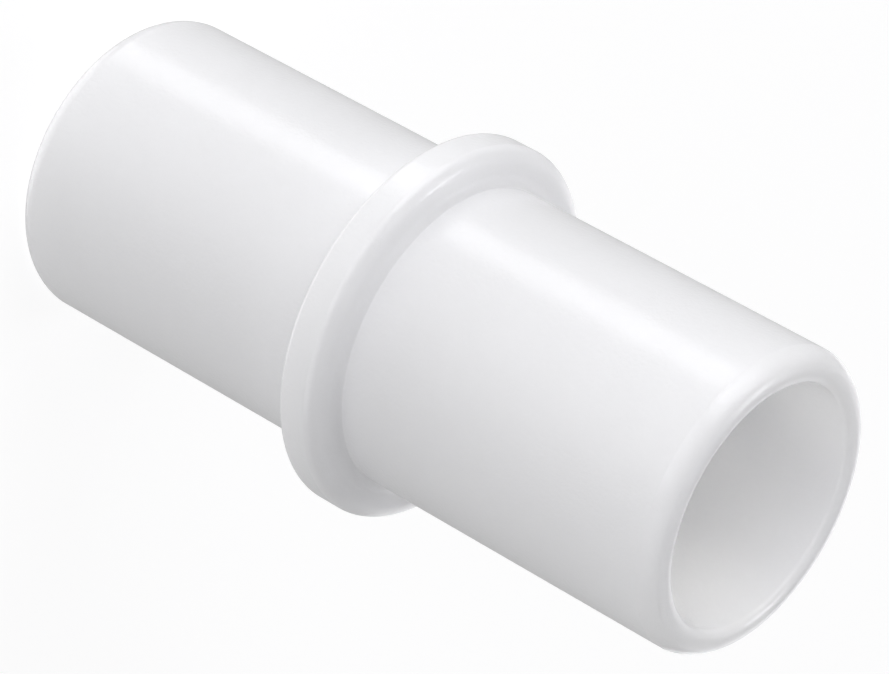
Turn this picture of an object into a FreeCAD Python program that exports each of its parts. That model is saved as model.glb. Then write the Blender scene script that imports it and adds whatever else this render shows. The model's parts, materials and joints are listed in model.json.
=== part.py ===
# Straight hose connector, moulded in one piece: two equal plain spigots with a stop collar between them.
# It stands on the end of its lower spigot. The bore's axis is +Z, and the origin is in the middle of the
# lower end face. All sizes are in millimetres.
import FreeCAD, Part
import os
import Sketcher

NODE = "connector_body"

# Driving dimensions: alias, value, what it measures.
SIZES = (
    ("spigot_diameter", 22.0, "outside of each spigot, where the hose cuff grips"),
    ("spigot_length", 27.2, "from the collar's face to the end of the spigot"),
    ("wall", 2.2, "wall of the tube"),
    ("mouth_bevel", 0.4, "lead-in bevel round the bore's edge at each mouth"),
    ("end_land", 0.4, "width of the flat ring left on each end face"),
    ("collar_width", 3.2, "along the axis, face to face"),
    ("collar_height", 2.7, "how far the rim stands out from the spigots"),
    ("rim_bevel", 0.45, "bevel that breaks the two edges of the collar's rim"),
    ("root_fillet", 0.9, "radius in the corner between collar and spigot"),
)

# Sizes that follow from the driving ones: alias, formula.
FOLLOWING = (
    ("spigot_radius", "=spigot_diameter / 2"),
    ("bore_radius", "=spigot_radius - wall"),
    ("collar_radius", "=spigot_radius + collar_height"),
    ("collar_top", "=spigot_length + collar_width"),
    ("overall_length", "=2 * spigot_length + collar_width"),
    ("lip_rounding", "=wall - mouth_bevel - end_land"),
)

MATCH = 1e-6  # how closely an edge has to lie where it is looked for

# A way to work on edges: the feature's type, and its property that holds the size.
ROUNDING = ("PartDesign::Fillet", "Radius")
BEVEL = ("PartDesign::Chamfer", "Size")


def make_sheet(doc):
    """Write the driving dimensions and those that follow from them to the document's sheet."""
    sheet = doc.addObject("Spreadsheet::Sheet", "Sizes")
    for row, (alias, value, meaning) in enumerate(SIZES, start=1):
        sheet.set(f"A{row}", alias)
        sheet.set(f"B{row}", str(value))
        sheet.set(f"C{row}", meaning)
        sheet.setAlias(f"B{row}", alias)
    doc.recompute()
    for row, (alias, formula) in enumerate(FOLLOWING, start=len(SIZES) + 1):
        sheet.set(f"A{row}", alias)
        sheet.set(f"B{row}", formula)
        sheet.setAlias(f"B{row}", alias)
        doc.recompute()
    return sheet


def origin_plane(body, role):
    """Find one of the body's own base planes by its role."""
    return next(plane for plane in body.Origin.OriginFeatures if plane.Role == role)


def section_corners(sheet):
    """Corners of the half section as (radius, height), from the bore's foot round the outside."""
    return (
        (sheet.bore_radius, 0.0),
        (sheet.spigot_radius, 0.0),
        (sheet.spigot_radius, sheet.spigot_length),
        (sheet.collar_radius, sheet.spigot_length),
        (sheet.collar_radius, sheet.collar_top),
        (sheet.spigot_radius, sheet.collar_top),
        (sheet.spigot_radius, sheet.overall_length),
        (sheet.bore_radius, sheet.overall_length),
    )


def draw_section(sketch, sheet):
    """Draw the half section of the wall and collar, square in every corner, and tie it to the sheet."""
    corners = [FreeCAD.Vector(radius, height, 0) for radius, height in section_corners(sheet)]
    count = len(corners)
    for index, start in enumerate(corners):
        sketch.addGeometry(Part.LineSegment(start, corners[(index + 1) % count]))
    foot, lower, under, rim, over, upper, top, bore = range(count)
    for side in range(count):
        sketch.addConstraint(Sketcher.Constraint("Coincident", side, 2, (side + 1) % count, 1))
    for side in (foot, under, over, top):
        sketch.addConstraint(Sketcher.Constraint("Horizontal", side))
    for side in (lower, rim, upper, bore):
        sketch.addConstraint(Sketcher.Constraint("Vertical", side))
    tie(sketch, "DistanceX", lower, "spigot_radius", sheet)
    tie(sketch, "DistanceX", upper, "spigot_radius", sheet)
    tie(sketch, "DistanceX", rim, "collar_radius", sheet)
    tie(sketch, "DistanceX", bore, "bore_radius", sheet)
    tie(sketch, "DistanceY", under, "spigot_length", sheet)
    tie(sketch, "DistanceY", over, "collar_top", sheet)
    tie(sketch, "DistanceY", top, "overall_length", sheet)
    sketch.addConstraint(Sketcher.Constraint("PointOnObject", foot, 1, -1))


def tie(sketch, direction, side, alias, sheet):
    """Set a side's distance from the sketch's origin to a cell of the sheet."""
    index = sketch.addConstraint(Sketcher.Constraint(direction, -1, 1, side, 1, getattr(sheet, alias)))
    sketch.setExpression(f"Constraints[{index}]", f"Sizes.{alias}")


def circles(feature, radius, heights):
    """Name the feature's circular edges of that radius that lie at one of the heights."""
    names = []
    for number, edge in enumerate(feature.Shape.Edges, start=1):
        if not isinstance(edge.Curve, Part.Circle):
            continue
        fits = abs(edge.Curve.Radius - radius) < MATCH
        placed = any(abs(edge.Curve.Center.z - height) < MATCH for height in heights)
        if fits and placed:
            names.append(f"Edge{number}")
    return names


def work_edges(body, way, name, base, radius, heights, alias):
    """Round or bevel a pair of circular edges, one on each side of the collar, by the size in a cell."""
    feature_type, size_property = way
    feature = body.newObject(feature_type, name)
    feature.Base = (base, circles(base, radius, heights))
    feature.setExpression(size_property, f"Sizes.{alias}")
    body.Document.recompute()
    return feature


def make_connector(doc, sheet):
    """Turn the half section about the axis, round its roots and lips, and bevel its rim and mouths."""
    body = doc.addObject("PartDesign::Body", "Connector")
    body.Label = NODE
    sketch = body.newObject("Sketcher::SketchObject", "HalfSection")
    sketch.AttachmentSupport = (origin_plane(body, "XZ_Plane"), [""])
    sketch.MapMode = "FlatFace"
    doc.recompute()
    draw_section(sketch, sheet)
    doc.recompute()
    turned = body.newObject("PartDesign::Revolution", "TurnedWall")
    turned.Profile = sketch
    turned.ReferenceAxis = (sketch, ["V_Axis"])
    doc.recompute()
    ends = (0.0, sheet.overall_length)
    faces = (sheet.spigot_length, sheet.collar_top)
    roots = work_edges(body, ROUNDING, "CollarRoots", turned, sheet.spigot_radius, faces, "root_fillet")
    lips = work_edges(body, ROUNDING, "SpigotLips", roots, sheet.spigot_radius, ends, "lip_rounding")
    rim = work_edges(body, BEVEL, "CollarRim", lips, sheet.collar_radius, faces, "rim_bevel")
    mouths = work_edges(body, BEVEL, "BoreMouths", rim, sheet.bore_radius, ends, "mouth_bevel")
    body.Tip = mouths
    body.Placement = FreeCAD.Placement()
    doc.recompute()
    return body


def check(doc, parts):
    """Stop if any object failed to build or a sub-part's shape isn't one valid solid."""
    for item in doc.Objects:
        if "Invalid" in item.State or "Error" in item.State:
            raise RuntimeError(f"{item.Name} failed: {item.State}")
    for part in parts:
        if part.Shape.isNull() or not part.Shape.isValid() or len(part.Shape.Solids) != 1:
            raise RuntimeError(f"{part.Label} isn't one valid solid")


def main():
    """Build the connector and write its shape."""
    os.makedirs("parts", exist_ok=True)
    doc = FreeCAD.newDocument("HoseConnector")
    sheet = make_sheet(doc)
    parts = [make_connector(doc, sheet)]
    check(doc, parts)
    for part in parts:
        part.Shape.exportStep(f"parts/{part.Label}.step")
        print(part.Label, round(part.Shape.Volume, 1), "mm3", part.Shape.BoundBox)


main()
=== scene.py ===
"""Dress the hose connector: a white moulded tube with a stop collar, on end on a pale light table.

The frame's record and box give the part's main sizes. This script adds the moulding's soft edges, its
satin white finish, the table, the light and the camera. Sizes are in metres and angles in degrees. The
camera's lens and sensor are in millimetres.
"""

import json
import logging
from abc import ABC, abstractmethod
from dataclasses import dataclass, field
from enum import Enum
from math import atan, cos, pi, radians, sin, tau
from typing import NamedTuple

import bpy
from mathutils import Matrix, Vector

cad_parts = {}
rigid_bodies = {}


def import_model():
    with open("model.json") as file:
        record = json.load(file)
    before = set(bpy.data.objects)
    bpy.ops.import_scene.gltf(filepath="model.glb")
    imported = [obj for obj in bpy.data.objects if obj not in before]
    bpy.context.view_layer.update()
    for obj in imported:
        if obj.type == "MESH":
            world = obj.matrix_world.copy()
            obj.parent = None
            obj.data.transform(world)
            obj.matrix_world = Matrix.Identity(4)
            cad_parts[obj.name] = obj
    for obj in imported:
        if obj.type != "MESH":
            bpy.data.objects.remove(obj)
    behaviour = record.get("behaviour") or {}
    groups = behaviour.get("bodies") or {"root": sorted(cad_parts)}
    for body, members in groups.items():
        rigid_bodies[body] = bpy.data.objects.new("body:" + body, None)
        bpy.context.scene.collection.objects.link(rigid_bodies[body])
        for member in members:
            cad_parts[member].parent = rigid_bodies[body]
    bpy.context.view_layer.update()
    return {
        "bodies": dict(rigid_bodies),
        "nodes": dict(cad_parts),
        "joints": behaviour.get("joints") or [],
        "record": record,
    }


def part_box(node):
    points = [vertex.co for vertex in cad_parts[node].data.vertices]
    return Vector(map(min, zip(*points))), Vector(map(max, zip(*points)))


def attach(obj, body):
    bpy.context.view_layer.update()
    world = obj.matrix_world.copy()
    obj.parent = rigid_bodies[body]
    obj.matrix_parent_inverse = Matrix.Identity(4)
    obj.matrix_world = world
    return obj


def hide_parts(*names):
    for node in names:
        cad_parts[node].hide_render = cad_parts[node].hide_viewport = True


MM = 0.001
BODY = "root"
NODE = "connector_body"
SLOT = "white_plastic"
FRAME_WIDTH = 889
SENSOR_WIDTH = 36.0

Socket = bpy.types.NodeSocket

log = logging.getLogger("hose_connector")


class Edge(Enum):
    """The kinds of edge that run round the connector."""

    MOUTH = "mouth"
    LIP = "lip"
    ROOT = "root"
    RIM = "rim"


class Bend(NamedTuple):
    """One arc of a worked edge: its radius, and the angle that it turns through."""

    radius: float
    turn: float


class Corner(NamedTuple):
    """A square corner of the half section, before it is rounded."""

    radius: float
    height: float
    edge: Edge


class SectionPoint(NamedTuple):
    """A point on the rounded half section, with the surface's outward direction there."""

    radius: float
    height: float
    out_radius: float
    out_height: float


class NodeKit:
    """Adds nodes to one material's or world's node tree and links them."""

    def __init__(self, owner: bpy.types.ID) -> None:
        """Empty the owner's node tree.

        Args:
            owner: the material or world whose nodes are made.
        """
        owner.use_nodes = True
        self.tree = owner.node_tree
        self.tree.nodes.clear()

    def add(self, kind: str, **values: object) -> bpy.types.Node:
        """Add a node and set its properties and inputs.

        Args:
            kind: the node's type name.
            values: properties of the node, or inputs by name with spaces written as underscores.

        Returns:
            The new node.
        """
        node = self.tree.nodes.new(kind)
        for name, value in values.items():
            if hasattr(node, name):
                setattr(node, name, value)
            else:
                node.inputs[name.replace("_", " ")].default_value = value
        return node

    def link(self, source: Socket, target: Socket) -> None:
        """Link an output to an input."""
        self.tree.links.new(source, target)


@dataclass(frozen=True)
class WhitePlastic:
    """Satin white moulded plastic: a faint cloudiness, a fine grain and a thin clear skin.

    Each detail is made by noise: its size is that of the coarsest lumps, and its layers are how many finer
    noises lie on them, each weaker than the one before by the layer weight.
    """

    colour: tuple[float, float, float] = (0.936, 0.935, 0.955)
    cloud_shade: float = 0.972
    cloud_size: float = 3.0 * MM
    cloud_layers: float = 5.0
    roughness: float = 0.42
    roughness_spread: float = 0.05
    patch_size: float = 2.6 * MM
    patch_layers: float = 3.0
    grain_size: float = 0.3 * MM
    grain_depth: float = 0.019 * MM
    grain_layers: float = 1.0
    wave_size: float = 6.0 * MM
    wave_depth: float = 0.012 * MM
    wave_layers: float = 1.0
    layer_weight: float = 0.7
    skin_weight: float = 0.5
    skin_roughness: float = 0.13
    glow_weight: float = 0.8
    glow_reach: float = 4.5 * MM
    glow_balance: tuple[float, float, float] = (1.0, 1.0, 1.0)
    refraction: float = 1.49

    def material(self) -> bpy.types.Material:
        """Make the material.

        Returns:
            The finished material.
        """
        material = bpy.data.materials.new(SLOT)
        kit = NodeKit(material)
        place = kit.add("ShaderNodeTexCoord").outputs["Object"]
        shader = kit.add(
            "ShaderNodeBsdfPrincipled",
            IOR=self.refraction,
            Coat_Weight=self.skin_weight,
            Coat_Roughness=self.skin_roughness,
            Subsurface_Weight=self.glow_weight,
            Subsurface_Scale=self.glow_reach,
        )
        shader.inputs["Subsurface Radius"].default_value = self.glow_balance
        kit.link(self.cloudy_colour(kit, place), shader.inputs["Base Color"])
        kit.link(self.patchy_roughness(kit, place), shader.inputs["Roughness"])
        relief = self.relief(kit, place)
        kit.link(relief, shader.inputs["Normal"])
        kit.link(relief, shader.inputs["Coat Normal"])
        output = kit.add("ShaderNodeOutputMaterial")
        kit.link(shader.outputs["BSDF"], output.inputs["Surface"])
        return material

    def noise(self, kit: NodeKit, place: Socket, size: float, layers: float) -> Socket:
        """Add solid noise of one size.

        Args:
            kit: the tree's kit.
            place: the coordinates that the noise follows.
            size: the size of its coarsest lumps.
            layers: how many finer noises lie on it.

        Returns:
            The noise's factor output.
        """
        noise = kit.add("ShaderNodeTexNoise", Scale=1.0 / size, Detail=layers, Roughness=self.layer_weight)
        kit.link(place, noise.inputs["Vector"])
        return noise.outputs["Fac"]

    def cloudy_colour(self, kit: NodeKit, place: Socket) -> Socket:
        """Vary the colour by a hair from cloud to cloud, as the melt leaves it.

        Args:
            kit: the tree's kit.
            place: the coordinates that the clouds follow.

        Returns:
            The colour's output.
        """
        mix = kit.add("ShaderNodeMix", data_type="RGBA")
        kit.link(self.noise(kit, place, self.cloud_size, self.cloud_layers), mix.inputs["Factor"])
        mix.inputs["A"].default_value = (*(part * self.cloud_shade for part in self.colour), 1.0)
        mix.inputs["B"].default_value = (*self.colour, 1.0)
        return mix.outputs["Result"]

    def patchy_roughness(self, kit: NodeKit, place: Socket) -> Socket:
        """Spread the roughness about its middle value in soft patches.

        Args:
            kit: the tree's kit.
            place: the coordinates that the patches follow.

        Returns:
            The roughness's output.
        """
        span = kit.add("ShaderNodeMapRange")
        span.inputs["To Min"].default_value = self.roughness - self.roughness_spread
        span.inputs["To Max"].default_value = self.roughness + self.roughness_spread
        kit.link(self.noise(kit, place, self.patch_size, self.patch_layers), span.inputs["Value"])
        return span.outputs["Result"]

    def relief(self, kit: NodeKit, place: Socket) -> Socket:
        """Lay a fine grain over long shallow waves in the skin.

        Args:
            kit: the tree's kit.
            place: the coordinates that grain and waves follow.

        Returns:
            The relief's normal output.
        """
        waves = kit.add("ShaderNodeBump", Distance=self.wave_depth)
        kit.link(self.noise(kit, place, self.wave_size, self.wave_layers), waves.inputs["Height"])
        grain = kit.add("ShaderNodeBump", Distance=self.grain_depth)
        kit.link(self.noise(kit, place, self.grain_size, self.grain_layers), grain.inputs["Height"])
        kit.link(waves.outputs["Normal"], grain.inputs["Normal"])
        return grain.outputs["Normal"]


@dataclass(frozen=True)
class TableSheet:
    """Matt translucent sheet of the light table: it shows white, and keeps what shadow falls on it.

    It looks white by a glow that only shows, and that lights nothing.
    """

    colour: tuple[float, float, float] = (0.3, 0.3, 0.3)
    shown_glow: float = 0.81

    def material(self) -> bpy.types.Material:
        """Make the material.

        Returns:
            The finished material.
        """
        material = bpy.data.materials.new("table_sheet")
        kit = NodeKit(material)
        matt = kit.add("ShaderNodeBsdfDiffuse", Color=(*self.colour, 1.0))
        glow = kit.add("ShaderNodeEmission")
        kit.link(shown(kit, self.shown_glow), glow.inputs["Strength"])
        total = kit.add("ShaderNodeAddShader")
        kit.link(matt.outputs["BSDF"], total.inputs[0])
        kit.link(glow.outputs["Emission"], total.inputs[1])
        output = kit.add("ShaderNodeOutputMaterial")
        kit.link(total.outputs["Shader"], output.inputs["Surface"])
        return material


def shown(kit: NodeKit, strength: float) -> Socket:
    """Give a strength where a surface is seen, mirrored or seen through, and none elsewhere.

    Args:
        kit: the tree's kit.
        strength: the value for camera, glossy and transmission rays.

    Returns:
        The value's output.
    """
    path = kit.add("ShaderNodeLightPath")
    seen = kit.add("ShaderNodeMath", operation="MAXIMUM")
    kit.link(path.outputs["Is Camera Ray"], seen.inputs[0])
    kit.link(path.outputs["Is Glossy Ray"], seen.inputs[1])
    either = kit.add("ShaderNodeMath", operation="MAXIMUM")
    kit.link(seen.outputs["Value"], either.inputs[0])
    kit.link(path.outputs["Is Transmission Ray"], either.inputs[1])
    value = kit.add("ShaderNodeMapRange")
    kit.link(either.outputs["Value"], value.inputs["Value"])
    value.inputs["To Max"].default_value = strength
    return value.outputs["Result"]


@dataclass
class ConnectorShell:
    """The moulding itself: two spigots, the stop collar between them, and the bore right through.

    The main sizes come from the frame. Each edge's bends are listed as the upper half's section runs: from
    the collar's rim up the spigot and over its lip into the bore.
    """

    spigot_radius: float
    bore_radius: float
    collar_radius: float
    collar_foot: float
    collar_top: float
    length: float
    rim: tuple[Bend, ...] = (Bend(0.3 * MM, 20.0), Bend(0.7 * MM, 35.0), Bend(1.6 * MM, 35.0))
    root: tuple[Bend, ...] = (Bend(1.2 * MM, 45.0), Bend(0.06 * MM, 45.0))
    lip: tuple[Bend, ...] = (
        Bend(0.2 * MM, 10.0),
        Bend(2.16 * MM, 36.0),
        Bend(0.6 * MM, 20.0),
        Bend(1.6 * MM, 24.0),
    )
    mouth: tuple[Bend, ...] = (Bend(1.1 * MM, 28.0), Bend(0.4 * MM, 62.0))
    bend_step: float = 5.0
    fewest_bend_steps: int = 2
    straight_step: float = 1.2 * MM
    segments: int = 192

    @classmethod
    def from_frame(cls, frame: dict) -> "ConnectorShell":
        """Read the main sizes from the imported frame.


        Returns:
            The shell, with its main sizes set.
        """
        mounts = {mount["name"]: mount for mount in frame["record"]["mounts"]}
        low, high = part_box(NODE)
        return cls(
            spigot_radius=mounts["upper_spigot"]["dims"]["r_mm"] * MM,
            bore_radius=mounts["bore"]["dims"]["r_mm"] * MM,
            collar_radius=max(high[0], high[1]),
            collar_foot=mounts["lower_stop"]["pos_m"][2],
            collar_top=mounts["upper_stop"]["pos_m"][2],
            length=high[2] - low[2],
        )

    def corners(self) -> list[Corner]:
        """List the half section's square corners.

        Returns:
            The corners in order, from the bore's foot round the outside to its top.
        """
        return [
            Corner(self.bore_radius, 0.0, Edge.MOUTH),
            Corner(self.spigot_radius, 0.0, Edge.LIP),
            Corner(self.spigot_radius, self.collar_foot, Edge.ROOT),
            Corner(self.collar_radius, self.collar_foot, Edge.RIM),
            Corner(self.collar_radius, self.collar_top, Edge.RIM),
            Corner(self.spigot_radius, self.collar_top, Edge.ROOT),
            Corner(self.spigot_radius, self.length, Edge.LIP),
            Corner(self.bore_radius, self.length, Edge.MOUTH),
        ]

    def bends(self, corner: Corner) -> tuple[Bend, ...]:
        """List the arcs that work a corner, in the section's order.

        Args:
            corner: the square corner.

        Returns:
            Its edge's arcs, turned about on the lower half, where the section runs from the bore to the rim.
        """
        worked = {Edge.MOUTH: self.mouth, Edge.LIP: self.lip, Edge.ROOT: self.root, Edge.RIM: self.rim}
        arcs = worked[corner.edge]
        return arcs if corner.height > self.length / 2 else arcs[::-1]

    def arc(self, before: Corner, corner: Corner, after: Corner) -> list[SectionPoint]:
        """Work one square corner into its row of arcs.

        Args:
            before: the corner before it on the section.
            corner: the corner to work.
            after: the corner after it.

        Returns:
            Points along the arcs, in the section's order.
        """
        here = Vector((corner.radius, corner.height))
        ahead = (here - Vector((before.radius, before.height))).normalized()
        aside = (Vector((after.radius, after.height)) - here).normalized()
        spots, heads = [Vector((0.0, 0.0))], [0.0]
        for bend in self.bends(corner):
            start, foot = heads[-1], spots[-1]
            steps = max(self.fewest_bend_steps, round(bend.turn / self.bend_step))
            for step in range(1, steps + 1):
                head = start + radians(bend.turn) * step / steps
                run = Vector((sin(head) - sin(start), cos(start) - cos(head)))
                spots.append(foot + run * bend.radius)
                heads.append(head)
        points = []
        for spot, head in zip(spots, heads):
            place = here + ahead * (spot.x - spots[-1].x) + aside * spot.y
            course = ahead * cos(head) + aside * sin(head)
            points.append(SectionPoint(place.x, place.y, course.y, -course.x))
        return points

    def section(self) -> list[SectionPoint]:
        """Draw the rounded half section as a closed row of points.

        Returns:
            The arcs' points, with more between them so that no stretch is long.
        """
        corners = self.corners()
        count = len(corners)
        arcs = [self.arc(corners[i - 1], corners[i], corners[(i + 1) % count]) for i in range(count)]
        points: list[SectionPoint] = []
        for index, arc in enumerate(arcs):
            points.extend(arc)
            points.extend(self.stretch(arc[-1], arcs[(index + 1) % count][0]))
        return points

    def stretch(self, start: SectionPoint, end: SectionPoint) -> list[SectionPoint]:
        """Divide a straight stretch of the section into short steps.

        Args:
            start: the last point of the arc before it.
            end: the first point of the arc after it.

        Returns:
            The points between the two.
        """
        run = Vector((end.radius - start.radius, end.height - start.height))
        steps = max(1, round(run.length / self.straight_step))
        return [
            SectionPoint(
                start.radius + run.x * step / steps,
                start.height + run.y * step / steps,
                start.out_radius,
                start.out_height,
            )
            for step in range(1, steps)
        ]

    def build(self) -> bpy.types.Object:
        """Turn the half section about the axis.

        Returns:
            The closed, smooth-shaded moulding.
        """
        section = self.section()
        rings = len(section)
        spots, outs, faces = [], [], []
        for segment in range(self.segments):
            turn = tau * segment / self.segments
            across, along = cos(turn), sin(turn)
            for point in section:
                spots.append((point.radius * across, point.radius * along, point.height))
                outs.append((point.out_radius * across, point.out_radius * along, point.out_height))
            here, there = segment * rings, (segment + 1) % self.segments * rings
            for ring in range(rings):
                up = (ring + 1) % rings
                faces.append((here + ring, there + ring, there + up, here + up))
        mesh = bpy.data.meshes.new("connector_shell")
        mesh.from_pydata(spots, [], faces)
        mesh.shade_smooth()
        mesh.normals_split_custom_set_from_vertices(outs)
        mesh.validate()
        piece = bpy.data.objects.new("connector_shell", mesh)
        bpy.context.collection.objects.link(piece)
        return piece

    def dress(self, piece: bpy.types.Object, finish: WhitePlastic) -> None:
        """Give the moulding its finish and set it in the CAD node's place.

        Args:
            piece: the moulding's object.
            finish: its finish.
        """
        piece.data.materials.append(finish.material())
        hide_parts(NODE)
        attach(piece, BODY)


@dataclass
class LightTable:
    """The pale sheet that the connector stands on.

    It casts no shadow and sends no light back, so a lamp under it lights the connector.
    """

    width: float = 8.0
    finish: TableSheet = field(default_factory=TableSheet)

    def build(self) -> bpy.types.Object:
        """Lay the sheet at the connector's foot.

        Returns:
            The sheet's object.
        """
        half = self.width / 2
        spots = [(-half, -half, 0.0), (half, -half, 0.0), (half, half, 0.0), (-half, half, 0.0)]
        mesh = bpy.data.meshes.new("table_sheet")
        mesh.from_pydata(spots, [], [tuple(range(len(spots)))])
        mesh.materials.append(self.finish.material())
        sheet = bpy.data.objects.new("table_sheet", mesh)
        bpy.context.collection.objects.link(sheet)
        sheet.visible_shadow = False
        sheet.visible_glossy = False
        sheet.visible_diffuse = False
        return sheet


@dataclass(frozen=True)
class Lamp(ABC):
    """A studio lamp that faces one spot of the connector."""

    name: str
    azimuth: float
    elevation: float
    strength: float
    distance: float = 0.6

    @abstractmethod
    def light(self) -> bpy.types.Light:
        """Make what shines in the lamp."""

    def hang(self, aim: Vector) -> bpy.types.Object:
        """Hang the lamp.

        Args:
            aim: the spot that the lamp faces.

        Returns:
            The lamp's object.
        """
        bearing, rise = radians(self.azimuth), radians(self.elevation)
        way = Vector((cos(rise) * cos(bearing), cos(rise) * sin(bearing), sin(rise)))
        lamp = bpy.data.objects.new(self.name, self.light())
        bpy.context.collection.objects.link(lamp)
        lamp.location = aim + way * self.distance
        lamp.rotation_mode = "QUATERNION"
        lamp.rotation_quaternion = (-way).to_track_quat("-Z", "Y")
        lamp.visible_camera = False
        return lamp


@dataclass(frozen=True)
class Softbox(Lamp):
    """A square soft lamp, a hair cooler than white.

    Its strength is the brightness of its face, whatever its width.
    """

    width: float = 0.5
    tint: tuple[float, float, float] = (0.977, 0.975, 1.0)

    def light(self) -> bpy.types.Light:
        """Make the even square of light.

        Returns:
            The lamp's area light.
        """
        data = bpy.data.lights.new(self.name, "AREA")
        data.shape = "SQUARE"
        data.size = self.width
        data.color = self.tint
        data.energy = self.strength * pi * self.width ** 2
        return data


@dataclass(frozen=True)
class Snoot(Lamp):
    """A lamp with a narrow beam, which shines through the upper mouth into the bore.

    Its strength is the light that reaches the mouth, whatever its distance, and the beam's radius is that at
    the mouth.
    """

    beam_radius: float = 7.0 * MM
    beam_softness: float = 1.0
    source_radius: float = 2.0 * MM
    tint: tuple[float, float, float] = (1.0, 0.99, 0.91)

    def light(self) -> bpy.types.Light:
        """Make the beam.

        Returns:
            The lamp's spot light, soft from the beam's middle to its edge.
        """
        data = bpy.data.lights.new(self.name, "SPOT")
        data.spot_size = 2.0 * atan(self.beam_radius / self.distance)
        data.spot_blend = self.beam_softness
        data.shadow_soft_size = self.source_radius
        data.color = self.tint
        data.energy = self.strength * (tau * self.distance) ** 2
        return data


@dataclass(frozen=True)
class Surround:
    """The room's own light: even all round, and none from straight overhead.

    It fades out between two heights, each given as the upward part of a direction of length 1.
    """

    strength: float = 0.57
    ceiling_start: float = 0.2
    ceiling_end: float = 0.7

    def build(self) -> bpy.types.World:
        """Light the world.

        Returns:
            The world.
        """
        world = bpy.data.worlds.new("studio")
        bpy.context.scene.world = world
        kit = NodeKit(world)
        ways = kit.add("ShaderNodeSeparateXYZ")
        kit.link(kit.add("ShaderNodeTexCoord").outputs["Generated"], ways.inputs["Vector"])
        light = kit.add("ShaderNodeMapRange")
        kit.link(ways.outputs["Z"], light.inputs["Value"])
        light.inputs["From Min"].default_value = self.ceiling_start
        light.inputs["From Max"].default_value = self.ceiling_end
        light.inputs["To Min"].default_value = self.strength
        light.inputs["To Max"].default_value = 0.0
        glow = kit.add("ShaderNodeBackground")
        kit.link(light.outputs["Result"], glow.inputs["Strength"])
        output = kit.add("ShaderNodeOutputWorld")
        kit.link(glow.outputs["Background"], output.inputs["Surface"])
        return world


@dataclass
class Studio:
    """The surrounding light, the soft lamps and the narrow ones."""

    surround: Surround = field(default_factory=Surround)
    lamps: tuple[Softbox, ...] = (
        Softbox("side_softbox", azimuth=-60.0, elevation=20.0, strength=2.2),
        Softbox("right_softbox", azimuth=60.0, elevation=30.0, strength=0.86),
        Softbox("front_softbox", azimuth=0.0, elevation=30.0, strength=0.53),
        Softbox("level_softbox", azimuth=0.0, elevation=0.0, strength=0.86),
        Softbox("band_softbox", azimuth=-70.0, elevation=-32.0, strength=2.7, width=0.2),
        Softbox("glint_softbox", azimuth=-55.0, elevation=4.0, strength=3.0, width=0.14),
        Softbox("top_glint_softbox", azimuth=-98.0, elevation=73.0, strength=4.0, width=0.1),
        Softbox("edge_glint_softbox", azimuth=-150.0, elevation=55.0, strength=7.0, width=0.12),
        Softbox("under_softbox", azimuth=0.0, elevation=-90.0, strength=1.3),
        Softbox("back_softbox", azimuth=180.0, elevation=60.0, strength=0.6),
        Softbox("back_level_softbox", azimuth=180.0, elevation=0.0, strength=1.1),
    )
    snoots: tuple[Snoot, ...] = (
        Snoot("left_snoot", azimuth=-57.0, elevation=33.0, strength=0.27),
        Snoot("middle_snoot", azimuth=0.0, elevation=52.0, strength=0.24),
        Snoot("right_snoot", azimuth=68.0, elevation=26.0, strength=0.14),
    )

    def build(self, middle: Vector, mouth: Vector) -> list[bpy.types.Object]:
        """Light the world and hang the lamps.

        Args:
            middle: the connector's middle.
            mouth: the middle of its upper mouth.

        Returns:
            The lamps' objects.
        """
        self.surround.build()
        return [lamp.hang(middle) for lamp in self.lamps] + [snoot.hang(mouth) for snoot in self.snoots]


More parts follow.
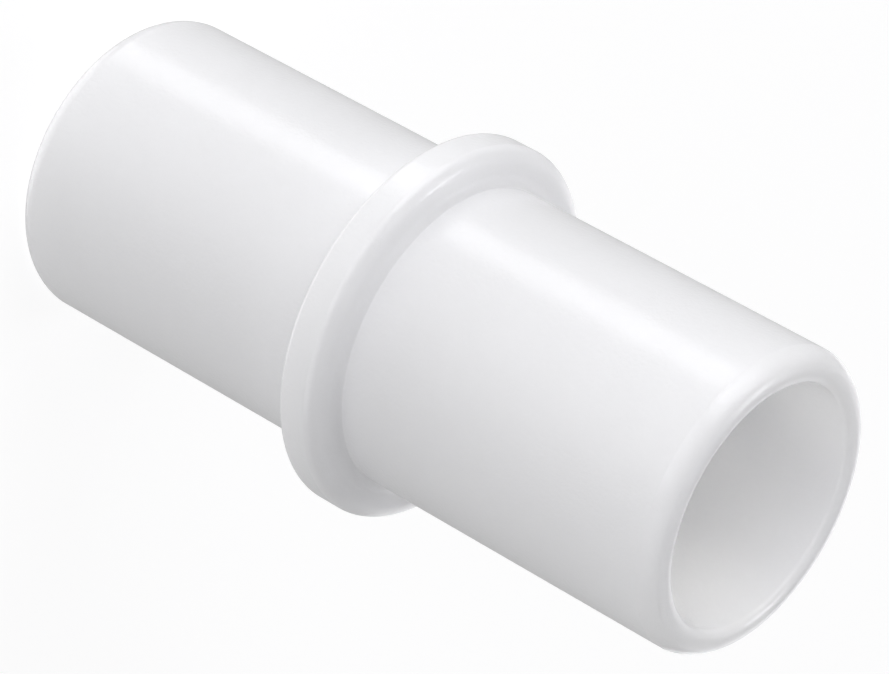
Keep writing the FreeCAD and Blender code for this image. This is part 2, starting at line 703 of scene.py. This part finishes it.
@dataclass
class TableCamera:
    """The camera, at the picture's distance and angle from the connector's middle.

    It looks down at the bore from the side, and is rolled so that the connector lies across the frame. The
    nearest and the farthest that it sees are multiples of its distance.
    """

    from_axis: float = 57.562
    roll: float = 118.907
    distance: float = 350.22 * MM
    aim_right: float = 0.822 * MM
    aim_up: float = -0.7065 * MM
    focal_pixels: float = 5206.67
    nearest_seen: float = 0.1
    farthest_seen: float = 100.0

    def build(self, middle: Vector) -> bpy.types.Object:
        """Place the camera and make it the scene's own.

        Args:
            middle: the connector's middle.

        Returns:
            The camera's object.
        """
        back = Vector((sin(radians(self.from_axis)), 0.0, cos(radians(self.from_axis))))
        level_up = (Vector((0.0, 0.0, 1.0)) - back * back.z).normalized()
        level_right = level_up.cross(back)
        right = level_right * cos(radians(self.roll)) + level_up * sin(radians(self.roll))
        up = back.cross(right)
        place = middle + back * self.distance
        aim = middle + right * self.aim_right + up * self.aim_up
        back = (place - aim).normalized()
        right = (right - back * right.dot(back)).normalized()
        up = back.cross(right)
        data = bpy.data.cameras.new("table_camera")
        data.sensor_width = SENSOR_WIDTH
        data.lens = self.focal_pixels / FRAME_WIDTH * SENSOR_WIDTH
        data.clip_start = self.distance * self.nearest_seen
        data.clip_end = self.distance * self.farthest_seen
        camera = bpy.data.objects.new("table_camera", data)
        bpy.context.collection.objects.link(camera)
        camera.matrix_world = Matrix.Translation(place) @ Matrix((right, up, back)).transposed().to_4x4()
        bpy.context.scene.camera = camera
        return camera


def main() -> None:
    """Build the connector, its table, the light and the camera, and report each one."""
    logging.basicConfig(level=logging.INFO, format="%(name)s: %(message)s")
    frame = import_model()
    shell = ConnectorShell.from_frame(frame)
    piece = shell.build()
    shell.dress(piece, WhitePlastic())
    log.info("connector shell: %d points, %.1f mm long", len(piece.data.vertices), shell.length / MM)
    middle = Vector((0.0, 0.0, shell.length / 2))
    sheet = LightTable().build()
    log.info("table sheet: %.1f m wide", sheet.dimensions.x)
    lamps = Studio().build(middle, Vector((0.0, 0.0, shell.length)))
    log.info("lamps: %s", ", ".join(lamp.name for lamp in lamps))
    camera = TableCamera().build(middle)
    log.info("camera: lens %.1f mm", camera.data.lens)
    bpy.context.scene.view_settings.view_transform = "Standard"


if __name__ == "__main__":
    main()
